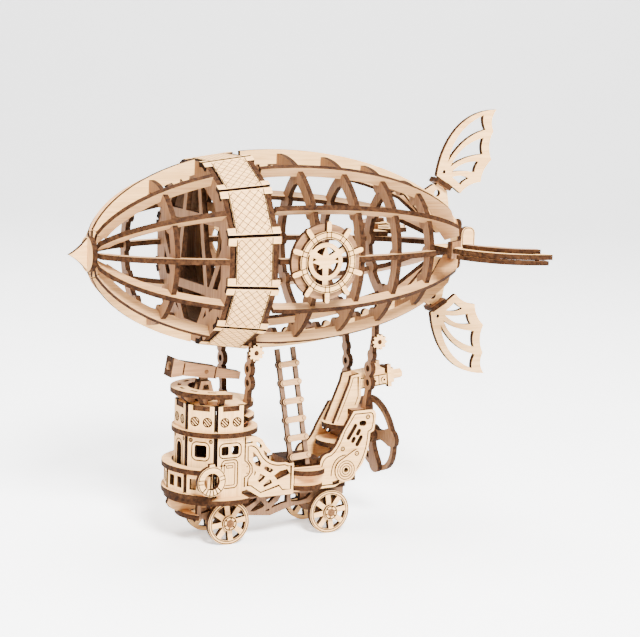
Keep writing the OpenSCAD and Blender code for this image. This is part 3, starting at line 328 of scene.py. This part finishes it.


# Plates by the tone of their faces: pale wood; tan, a darker wood with painted shade; middle and deep,
# painted shade on plates that sit inside, underneath or behind
PLATES = [
    (pale_faces["x"], [
        "nose_tip", "keels", "helm_rims", "helm_hubs", "upper_fin", "lower_fin", "flat_fins", "tail_plate",
        "lookout", "balcony_decks", "bow_deck", "lifebuoy", "main_deck", "side_panels", "stern_panels",
        "stern_discs", "side_steps", "stern_seats", "cheek_plates", "hanger_gears", "lower_cornice",
        "upper_cornice", "aft_balcony", "front_wheels", "rear_wheels",
    ]),
    (pale_faces["z"], ["nose_disc", "tail_post", "balcony_railing"]),
    (middle_shade_face, ["front_stringers", "rear_stringers", "ladder_steps", "bow_hull"]),
    (tan_and_shade_faces["x"], ["helm_backs", "fin_strips", "telescope_base"]),
    (tan_and_shade_faces["z"], [
        "ring_nose", "rear_rings", "bulkhead_front", "bulkhead_rear", "fin_collars", "front_hangers",
        "rear_hangers", "lookout_brackets", "stern_frame", "propeller", "deck_bench",
    ]),
    (deep_shade_face, ["ladder_rails", "hull_plates"]),
]
for face, names in PLATES:
    for name in names:
        dress_plates(name, face, edge)

# Panels with narrow gaps between them: their edges are burnt and painted with shade to near-black, so the
# gaps look black
dress_plates("belt_panels", pale_faces["x"], gap_shade_burnt)
for name in ("tower_walls", "frieze_panels"):
    dress_plates(name, pale_faces["z"], gap_shade_burnt)

# Painted shade on the inner faces: near-black in the tower walls and frieze, so the rooms behind the windows
# look dark, and deep brown in the side panels and the belt
for name in ("tower_walls", "frieze_panels"):
    dress_inside(name, painted_shade, (TOWER_X, 0, 0), along=2)
dress_inside("side_panels", deep_shade_face, (TOWER_X, 0, 0), along=2)
dress_inside("belt_panels", deep_shade_face, (0, 0, AXIS_Z), along=0)

# Pieces whose faces toward the sides get the face material and all other faces the edge one
# On the engine trim the faces not turned toward the sides, such as the flange's front, get the dark edge
# material as painted shade
dress_plates("engine_trim", pale_faces["x"], edge, normal=(0, 1, 0), limit=0.45)
dress_plates("telescope_pedestal", tan_and_shade_faces["z"], edge, normal=(0, 1, 0))
for name in ("telescope_tube", "telescope_eyepiece"):
    dress_plates(name, tan_and_shade_faces["x"], edge, normal=(0, 1, 0), limit=0.6)

dress_whole("engine_box", pale_faces["x"])
for name in ("telescope_pin", "propeller_shaft", "front_axle", "rear_axle"):
    dress_whole(name, dowel)


# Engraving

class Engraving:
    """Thin burnt lines gathered into one mesh."""

    def __init__(self):
        self.vertices = []
        self.polygons = []

    def strip(self, points, normal, width, closed=False):
        """Ribbon of a width along points in space, lying on a face with that normal."""
        points = [Vector(p) for p in points]
        normal = Vector(normal).normalized()
        last = len(points) - 1
        start = len(self.vertices)
        for i, point in enumerate(points):
            before = points[i - 1] if i > 0 or closed else point
            after = points[(i + 1) % len(points)] if i < last or closed else point
            along = (after - before).normalized()
            into = (point - before).normalized() if before != point else along
            side = normal.cross(along).normalized()
            stretch = 1.0 / max(0.5, along.dot(into))
            offset = side * (width / 2 * stretch)
            raised = point + normal * LIFT
            self.vertices.append((raised + offset) * MM)
            self.vertices.append((raised - offset) * MM)
        steps = len(points) if closed else last
        for i in range(steps):
            a = start + 2 * i
            b = start + 2 * ((i + 1) % len(points))
            self.polygons.append((a, a + 1, b + 1, b))

    def patch(self, points, normal):
        """Filled outline on a face with that normal."""
        start = len(self.vertices)
        normal = Vector(normal).normalized()
        self.vertices.extend((Vector(p) + normal * LIFT) * MM for p in points)
        self.polygons.append(tuple(range(start, start + len(points))))

    def build(self, name, material, body):
        """Makes the lines one piece that rides on a body."""
        mesh = bpy.data.meshes.new(name)
        mesh.from_pydata(self.vertices, [], self.polygons)
        mesh.materials.append(material)
        mesh.update()
        piece = bpy.data.objects.new(name, mesh)
        bpy.context.collection.objects.link(piece)
        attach(piece, body)


class Plane:
    """Drawing plane in space: a corner, two directions and the outward normal."""

    def __init__(self, origin, across, up, normal):
        self.origin = Vector(origin)
        self.across = Vector(across)
        self.up = Vector(up)
        self.normal = Vector(normal)

    def at(self, points):
        """Drawing points brought into space."""
        return [self.origin + self.across * a + self.up * b for a, b in points]


def side_plane(y, side):
    """Upright plane at a distance y from the middle, on port (-1) or starboard (1)."""
    return Plane((0, side * y, 0), (1, 0, 0), (0, 0, 1), (0, side, 0))


def tower_plane(angle):
    """Outer face of the tower wall at an angle from the bow, toward port."""
    c, s = math.cos(math.radians(angle)), math.sin(math.radians(angle))
    corner = (TOWER_X - TOWER_APOTHEM * c, -TOWER_APOTHEM * s, 0)
    return Plane(corner, (-s, c, 0), (0, 0, 1), (-c, -s, 0))


def belt_plane(k):
    """Outer face of belt panel k, its drawing running aft and across."""
    angle = math.radians(360 / BELT_PANELS * k)
    out = Vector((0, -math.sin(angle), math.cos(angle)))
    across = Vector((0, math.cos(angle), math.sin(angle)))
    front = Vector((BELT_FRONT_X, 0, AXIS_Z)) + out * BELT_FRONT_APOTHEM
    rear = Vector((BELT_REAR_X, 0, AXIS_Z)) + out * BELT_REAR_APOTHEM
    aft = (rear - front).normalized()
    return Plane(front, aft, across, aft.cross(across))


def tilted_plane(corner, y, side, rise):
    """Upright plane like side_plane, its drawing turned nose down by an angle about a corner."""
    c, s = math.cos(math.radians(rise)), math.sin(math.radians(rise))
    return Plane((corner[0], side * y, corner[1]), (c, 0, s), (-s, 0, c), (0, side, 0))


def circle_points(centre, radius, count):
    """Points around a circle."""
    steps = [2 * math.pi * i / count for i in range(count)]
    return [(centre[0] + radius * math.cos(t), centre[1] + radius * math.sin(t)) for t in steps]


def rounded_box(centre, width, height, radius, count=6):
    """Outline of a box with round corners."""
    points = []
    for corner, (sx, sy) in enumerate([(1, 1), (-1, 1), (-1, -1), (1, -1)]):
        cx = centre[0] + sx * (width / 2 - radius)
        cy = centre[1] + sy * (height / 2 - radius)
        for i in range(count + 1):
            t = math.radians(90 * corner + 90 * i / count)
            points.append((cx + radius * math.cos(t), cy + radius * math.sin(t)))
    return points


def arch(centre_x, foot, width, height, count=16):
    """Outline of an arched opening."""
    radius = width / 2
    top = foot + height - radius
    points = [(centre_x - radius, foot), (centre_x + radius, foot)]
    for i in range(count + 1):
        t = math.pi * i / count
        points.append((centre_x + radius * math.cos(t), top + radius * math.sin(t)))
    return points


def curve(a, c, b, count=10):
    """Points of a quadratic curve from a to b."""
    points = []
    for i in range(count + 1):
        t = i / count
        weights = ((1 - t) ** 2, 2 * t * (1 - t), t * t)
        points.append(tuple(sum(w * p[k] for w, p in zip(weights, (a, c, b))) for k in (0, 1)))
    return points


def clip_to_convex(start, direction, outline):
    """Part of a straight line inside a convex outline given anticlockwise, or None."""
    low, high = -1e9, 1e9
    for (ax, ay), (bx, by) in zip(outline, outline[1:] + outline[:1]):
        nx, ny = ay - by, bx - ax
        gap = nx * (start[0] - ax) + ny * (start[1] - ay)
        rate = nx * direction[0] + ny * direction[1]
        if abs(rate) < 1e-9:
            if gap < 0:
                return None
            continue
        t = -gap / rate
        if rate > 0:
            low = max(low, t)
        else:
            high = min(high, t)
    if low >= high:
        return None
    return [(start[0] + t * direction[0], start[1] + t * direction[1]) for t in (low, high)]


def dashes(start, end, dash, gap):
    """Short pieces along a straight line."""
    start, end = Vector((*start, 0)), Vector((*end, 0))
    length = (end - start).length
    along = (end - start) / length
    pieces = []
    t = 0.0
    while t + dash <= length:
        pieces.append([tuple((start + along * d)[:2]) for d in (t, t + dash)])
        t += dash + gap
    return pieces


lines = Engraving()
net = Engraving()

BELT_LENGTH = math.hypot(BELT_REAR_X - BELT_FRONT_X, BELT_REAR_APOTHEM - BELT_FRONT_APOTHEM)
BELT_MARGIN = 3.2
NET_PITCH = 3.2
NET_SPAN = 40.0
STITCH = 0.7
STITCH_GAP = 0.5


def belt_half_width(apothem):
    """Half the width of a belt panel at the end with that apothem."""
    return (apothem - SHEET - SLOT_GAP) * math.tan(math.radians(180 / BELT_PANELS)) - SLOT_GAP


def engrave_belt(plane):
    """Diamond net with border lines and stitches on one belt panel."""
    front_half = belt_half_width(BELT_FRONT_APOTHEM)
    rear_half = belt_half_width(BELT_REAR_APOTHEM)
    low = BELT_MARGIN
    high = BELT_LENGTH - BELT_MARGIN
    net_inset, border_inset, stitch_inset = 0.5, 0.4, 0.6
    field = [
        (low, net_inset - front_half),
        (high, net_inset - rear_half),
        (high, rear_half - net_inset),
        (low, front_half - net_inset),
    ]
    rows = int(NET_SPAN / NET_PITCH)
    for slope in (-1, 1):
        for i in range(-rows, rows + 1):
            piece = clip_to_convex((low, i * NET_PITCH), (1, slope), field)
            if piece:
                net.strip(plane.at(piece), plane.normal, HAIR_LINE)
    for border, half, inward in ((low, front_half, 1), (high, rear_half, -1)):
        line_reach = half - border_inset
        lines.strip(plane.at([(border, -line_reach), (border, line_reach)]), plane.normal, FINE_LINE)
        seam = border + inward * STITCH
        seam_reach = half - stitch_inset
        for piece in dashes((seam, -seam_reach), (seam, seam_reach), STITCH, STITCH_GAP):
            lines.strip(plane.at(piece), plane.normal, HAIR_LINE)


for k in range(BELT_PANELS):
    engrave_belt(belt_plane(k))


DOT_RADIUS = 0.3


def rivet(plane, centre, radius):
    """Ring with a dot in its middle."""
    lines.strip(plane.at(circle_points(centre, radius, 20)), plane.normal, LINE, closed=True)
    lines.patch(plane.at(circle_points(centre, DOT_RADIUS, 10)), plane.normal)


def engrave_tower_wall(angle):
    """Frames of the windows, the door in the side walls and two rivets in the others."""
    plane = tower_plane(angle)
    door, hinge_line = (0.1, 28.4), 0.5
    if angle == 0:
        lines.strip(plane.at(arch(0, 25.9, 6.2, 14.2)), plane.normal, LINE, closed=True)
    elif abs(angle) == 45:
        lines.strip(plane.at(rounded_box((0, 37), 7.0, 7.0, 1.9)), plane.normal, LINE, closed=True)
    else:
        lines.strip(plane.at(rounded_box((0, 37.4), 9.0, 5.6, 1.9)), plane.normal, LINE, closed=True)
        lines.strip(plane.at(rounded_box(door, 6.6, 10.8, 1.6)), plane.normal, LINE, closed=True)
        lines.strip(plane.at(rounded_box(door, 4.4, 8.6, 0.7)), plane.normal, FINE_LINE, closed=True)
        for z in (25.4, 31.8):
            lines.strip(plane.at([(1.6, z), (4.2, z)]), plane.normal, hinge_line)
        lines.strip(plane.at(rounded_box((0.1, 31.2), 2.6, 0.9, 0.3)), plane.normal, FINE_LINE, closed=True)
    if abs(angle) < 90:
        for side in (-1, 1):
            rivet(plane, (side * 4.0, 41.0), 0.62)


def engrave_frieze(angle):
    """Two hatched roundels on a frieze panel."""
    plane = tower_plane(angle)
    for side in (-1, 1):
        centre = (side * 2.5, 48.2)
        ring = circle_points(centre, 1.65, 28)
        lines.strip(plane.at(ring), plane.normal, LINE, closed=True)
        for shift in (-0.62, 0, 0.62):
            start = (centre[0] + shift, centre[1] - shift)
            piece = clip_to_convex(start, (1, 1), ring)
            lines.strip(plane.at(piece), plane.normal, BOLD_LINE)


for angle in (0, 45, -45, 90, -90):
    engrave_tower_wall(angle)
    engrave_frieze(angle)


def engrave_side_panel(plane):
    """Border line, the hinge on the seam between the tower wall and the panel, and a bold dark line along
    that seam: the joint, darkened as painted shade in the gap.
    """
    border = [(-22.3, 22.6), (-22.1, 25.3), (-20.4, 27.5), (-20.6, 30.2), (-22.3, 32.4), (-22.4, 37.8)]
    border += curve((-21.2, 38), (-19, 37.6), (-17.5, 35))
    border += curve((-17.5, 35), (-14.6, 29.7), (-9, 29.4))
    border += [(-6.6, 29.4), (-5.4, 28.8), (-3.9, 28.8), (-3.9, 19.6)]
    border += [(-7.4, 19.7), (-8.9, 21.5), (-16.7, 19.4), (-20.7, 22.4)]
    lines.strip(plane.at(border), plane.normal, LINE, closed=True)
    seam_x = -23.6
    hinge = curve((seam_x, 32.4), (-21.5, 31), (-21.4, 29.1))
    hinge += curve((-21.4, 29.1), (-21.5, 26.4), (seam_x, 26.1))
    lines.strip(plane.at(hinge), plane.normal, LINE)
    # Bold lines along the seam: a dark joint, made darker as painted shade in the gap between the tower wall
    # and the panel
    for low, high in ((22.2, 26.1), (32.4, 41.6)):
        lines.strip(plane.at([(seam_x, low), (seam_x, high)]), plane.normal, BOLD_LINE)
    for z in (27.5, 30.1):
        lines.patch(plane.at(circle_points((-22.6, z), DOT_RADIUS, 12)), plane.normal)


def engrave_stern_panel(plane):
    """Border line, three rivets and a sweep around the disc."""
    border = [(-1.6, 19), (-1.6, 26.4), (10.2, 26.4)]
    border += curve((10.2, 26.4), (10.6, 30.4), (14, 30.8))
    border += curve((14, 30.8), (17.6, 33), (19.9, 40))
    border += [(24.2, 46.6), (31.2, 46.7)]
    border += curve((31.2, 46.7), (33, 46.4), (32.3, 42.2))
    border += [(31.9, 40.1), (30.3, 39.3)]
    border += curve((30.3, 39.3), (29.9, 27.1), (22.4, 21.2))
    border += [(18, 20.6), (15.6, 19.3)]
    lines.strip(plane.at(border), plane.normal, LINE, closed=True)
    for centre in ((30, 45.1), (19.2, 33.1), (24.8, 31.1)):
        rivet(plane, centre, 0.75)
    sweep = curve((14.4, 22.6), (14.6, 30.4), (20.6, 30.6))
    lines.strip(plane.at(sweep), plane.normal, LINE)


def engrave_stern_disc(plane):
    """Rings on the disc and the rivet on its arm."""
    for radius in (1.7, 2.7, 3.7):
        lines.strip(plane.at(circle_points(DISC_CENTRE, radius, 44)), plane.normal, FINE_LINE, closed=True)
    rivet(plane, (DISC_CENTRE[0] + 4.6, DISC_CENTRE[1] + 6.3), 0.8)


def radial_line(plane, centre, angle, low, high, shift=0.0, width=FINE_LINE):
    """Straight line on a disc, from one radius to another, moved sideways by a shift."""
    c, s = math.cos(math.radians(angle)), math.sin(math.radians(angle))
    ends = [(centre[0] + r * c - shift * s, centre[1] + r * s + shift * c) for r in (low, high)]
    lines.strip(plane.at(ends), plane.normal, width)


def engrave_helm(plane):
    """Rim lines and the outlines of the handles where they cross the rim."""
    centre = (HELM_X, AXIS_Z)
    for radius in (HELM_RADIUS - 0.35, HELM_RADIUS - 2.2):
        lines.strip(plane.at(circle_points(centre, radius, 72)), plane.normal, FINE_LINE, closed=True)
    for k in range(HELM_HANDLES):
        angle = 90 + 360 * k / HELM_HANDLES
        for shift in (-0.9, 0.9):
            radial_line(plane, centre, angle, HELM_RADIUS - 2.6, HELM_RADIUS, shift)


def engrave_lifebuoy(plane):
    """Rim line, binding bands left and right and a fan of lines at the bottom."""
    rim = circle_points(BUOY_CENTRE, BUOY_OUTER - 0.35, 56)
    lines.strip(plane.at(rim), plane.normal, FINE_LINE, closed=True)
    for angle in (15, 180):
        for shift in (-0.7, 0.7):
            radial_line(plane, BUOY_CENTRE, angle, BUOY_INNER + 0.1, BUOY_OUTER - 0.15, shift)
    for angle in range(225, 320, 18):
        radial_line(plane, BUOY_CENTRE, angle, BUOY_INNER + 0.05, BUOY_OUTER - 0.1, width=LINE)


def engrave_engine(plane):
    """Seams along and across the box, on a plane from its lower corner."""
    low, high, end_inset = 0.35, 4.25, 0.2
    for height in (low, high):
        ends = [(end_inset, height), (ENGINE_LENGTH - end_inset, height)]
        lines.strip(plane.at(ends), plane.normal, LINE)
    for x in (3.6, 8.3):
        lines.strip(plane.at([(x, low), (x, high)]), plane.normal, FINE_LINE)


def engrave_studs(plane):
    """Dark middle of each stud on the engine's side."""
    for x in (6.3, 10.3):
        lines.patch(plane.at(circle_points((x, 2.3), 0.5, 16)), plane.normal)


def engrave_cheek(plane):
    """Line along the front, top and rear of the slanted plate."""
    border = [(20, 42.6), (25.6, 56.6), (26.4, 59.6), (28.6, 59.9), (28.9, 52.2), (27.6, 48.6)]
    lines.strip(plane.at(border), plane.normal, FINE_LINE)


def engrave_tail_plate(plane):
    """Line inside the rounded edge."""
    outline = rounded_box(TAIL_PLATE_CENTRE, TAIL_PLATE_WIDTH - 0.9, 12.7, 2.4)
    lines.strip(plane.at(outline), plane.normal, FINE_LINE, closed=True)


def engrave_wheel(engraving, side, centre_x):
    """Rim, hub and bolt marks on the outer face of one wheel."""
    centre = (centre_x, AXLE_Z)
    bolts, bolt_circle, bolt_radius = 6, 1.95, 0.36
    rim = side_plane(WHEEL_FACE_Y, side)
    for radius in (7.25, 8.15):
        engraving.strip(rim.at(circle_points(centre, radius, 56)), rim.normal, FINE_LINE, closed=True)
    hub = side_plane(HUB_FACE_Y, side)
    engraving.strip(hub.at(circle_points(centre, 2.5, 32)), hub.normal, LINE, closed=True)
    for i in range(bolts):
        t = math.radians(360 / bolts * i + 20)
        bolt = (centre[0] + bolt_circle * math.cos(t), centre[1] + bolt_circle * math.sin(t))
        engraving.patch(hub.at(circle_points(bolt, bolt_radius, 10)), hub.normal)


def engrave_telescope(plane):
    """Seams across the tube, behind the flare and before the eyepiece."""
    for x in (-9.4, 3.7):
        telescope_lines.strip(plane.at([(x, -2.2), (x, 2.2)]), plane.normal, BOLD_LINE)


front_wheel_lines = Engraving()
rear_wheel_lines = Engraving()
telescope_lines = Engraving()
for side in (-1, 1):
    engrave_side_panel(side_plane(SIDE_FACE_Y, side))
    engrave_stern_panel(side_plane(STERN_FACE_Y, side))
    engrave_stern_disc(side_plane(STERN_FACE_Y + SLOT_GAP + DISC_HEIGHT, side))
    engrave_helm(side_plane(HELM_FACE_Y, side))
    engrave_tail_plate(side_plane(SHEET / 2, side))
    engrave_cheek(side_plane(CHEEK_FACE_Y, side))
    engrave_engine(tilted_plane(ENGINE_CORNER, ENGINE_FACE_Y, side, ENGINE_RISE))
    engrave_studs(tilted_plane(ENGINE_CORNER, ENGINE_FACE_Y + SLOT_GAP + STUD_HEIGHT, side, ENGINE_RISE))
    engrave_wheel(front_wheel_lines, side, FRONT_AXLE_X)
    engrave_wheel(rear_wheel_lines, side, REAR_AXLE_X)
    engrave_telescope(tilted_plane(TELESCOPE_PIVOT, TELESCOPE_FACE_Y, side, -TELESCOPE_ANGLE))
engrave_lifebuoy(side_plane(BUOY_FACE_Y, -1))

lines.build("engraved_lines", engraved, "frame")
net.build("belt_net", net_line, "frame")
front_wheel_lines.build("front_wheel_lines", engraved, "front_wheelset")
rear_wheel_lines.build("rear_wheel_lines", engraved, "rear_wheelset")
telescope_lines.build("telescope_lines", engraved, "telescope")


# Stage, in metres

FLOOR_REACH = 12.0
WALL_DEPTH = 1.2
WALL_CURVE = 0.6
WALL_HEIGHT = 3.0


def backdrop():
    """Pale floor that curves up into a wall behind the object."""
    build = NodeBuilder("pale_backdrop")
    speckle = build.noise((18, 18, 18), detail=2.0)
    tone = build.ramp(speckle, [(0.3, (0.96, 0.96, 0.96)), (0.7, (0.99, 0.99, 0.99))])
    build.link(tone, build.shader.inputs["Base Color"])
    build.shader.inputs["Roughness"].default_value = 0.9
    build.shader.inputs["Emission Color"].default_value = (*WHITE, 1.0)
    build.shader.inputs["Emission Strength"].default_value = 0.8
    profile = [(-FLOOR_REACH, 0.0), (WALL_DEPTH, 0.0)]
    for t in np.linspace(0.1, math.pi / 2, 12):
        profile.append((WALL_DEPTH + WALL_CURVE * math.sin(t), WALL_CURVE - WALL_CURVE * math.cos(t)))
    profile.append((WALL_DEPTH + WALL_CURVE, WALL_HEIGHT))
    vertices = []
    for depth, height in profile:
        vertices.append((-FLOOR_REACH, depth, height))
        vertices.append((FLOOR_REACH, depth, height))
    polygons = [(2 * i, 2 * i + 1, 2 * i + 3, 2 * i + 2) for i in range(len(profile) - 1)]
    mesh = bpy.data.meshes.new("backdrop")
    mesh.from_pydata(vertices, [], polygons)
    mesh.materials.append(build.material)
    for polygon in mesh.polygons:
        polygon.use_smooth = True
    piece = bpy.data.objects.new("backdrop", mesh)
    bpy.context.collection.objects.link(piece)
    return piece


CAMERA_PLACE = Vector((-0.2915, -0.5675, 0.1859))
CAMERA_RIGHT = Vector((0.883, -0.468, 0.0331)).normalized()
CAMERA_FORWARD = Vector((0.467, 0.870, -0.1575)).normalized()
LENS_MM = 94.3
SENSOR_MM = 36.0


def camera():
    """Camera at the angle of the photograph."""
    data = bpy.data.cameras.new("camera")
    data.lens = LENS_MM
    data.sensor_width = SENSOR_MM
    up = CAMERA_RIGHT.cross(CAMERA_FORWARD).normalized()
    right = CAMERA_FORWARD.cross(up).normalized()
    turn = Matrix((right, up, -CAMERA_FORWARD)).transposed()
    piece = bpy.data.objects.new("camera", data)
    piece.matrix_world = Matrix.Translation(CAMERA_PLACE) @ turn.to_4x4()
    bpy.context.collection.objects.link(piece)
    bpy.context.scene.camera = piece


def area_light(name, place, target, size, power):
    """Round soft light aimed at a target."""
    data = bpy.data.lights.new(name, "AREA")
    data.shape = "DISK"
    data.size = size
    data.energy = power
    piece = bpy.data.objects.new(name, data)
    piece.location = place
    piece.rotation_euler = (Vector(target) - Vector(place)).to_track_quat("-Z", "Y").to_euler()
    bpy.context.collection.objects.link(piece)


# The wall stands square to the camera
backdrop().rotation_euler = (0, 0, math.atan2(-CAMERA_FORWARD.x, CAMERA_FORWARD.y))
camera()
CENTRE = (0.0, 0.0, 0.085)
area_light("key", (-0.15, -0.95, 0.9), CENTRE, size=0.4, power=92)
area_light("fill", (-0.95, -0.4, 0.4), CENTRE, size=0.9, power=4)
area_light("top", (0.0, 0.2, 1.2), CENTRE, size=0.7, power=34)

world = bpy.data.worlds.new("studio")
world.use_nodes = True
sky = world.node_tree.nodes["Background"]
sky.inputs["Color"].default_value = (*WHITE, 1.0)
sky.inputs["Strength"].default_value = 0.25
bpy.context.scene.world = world
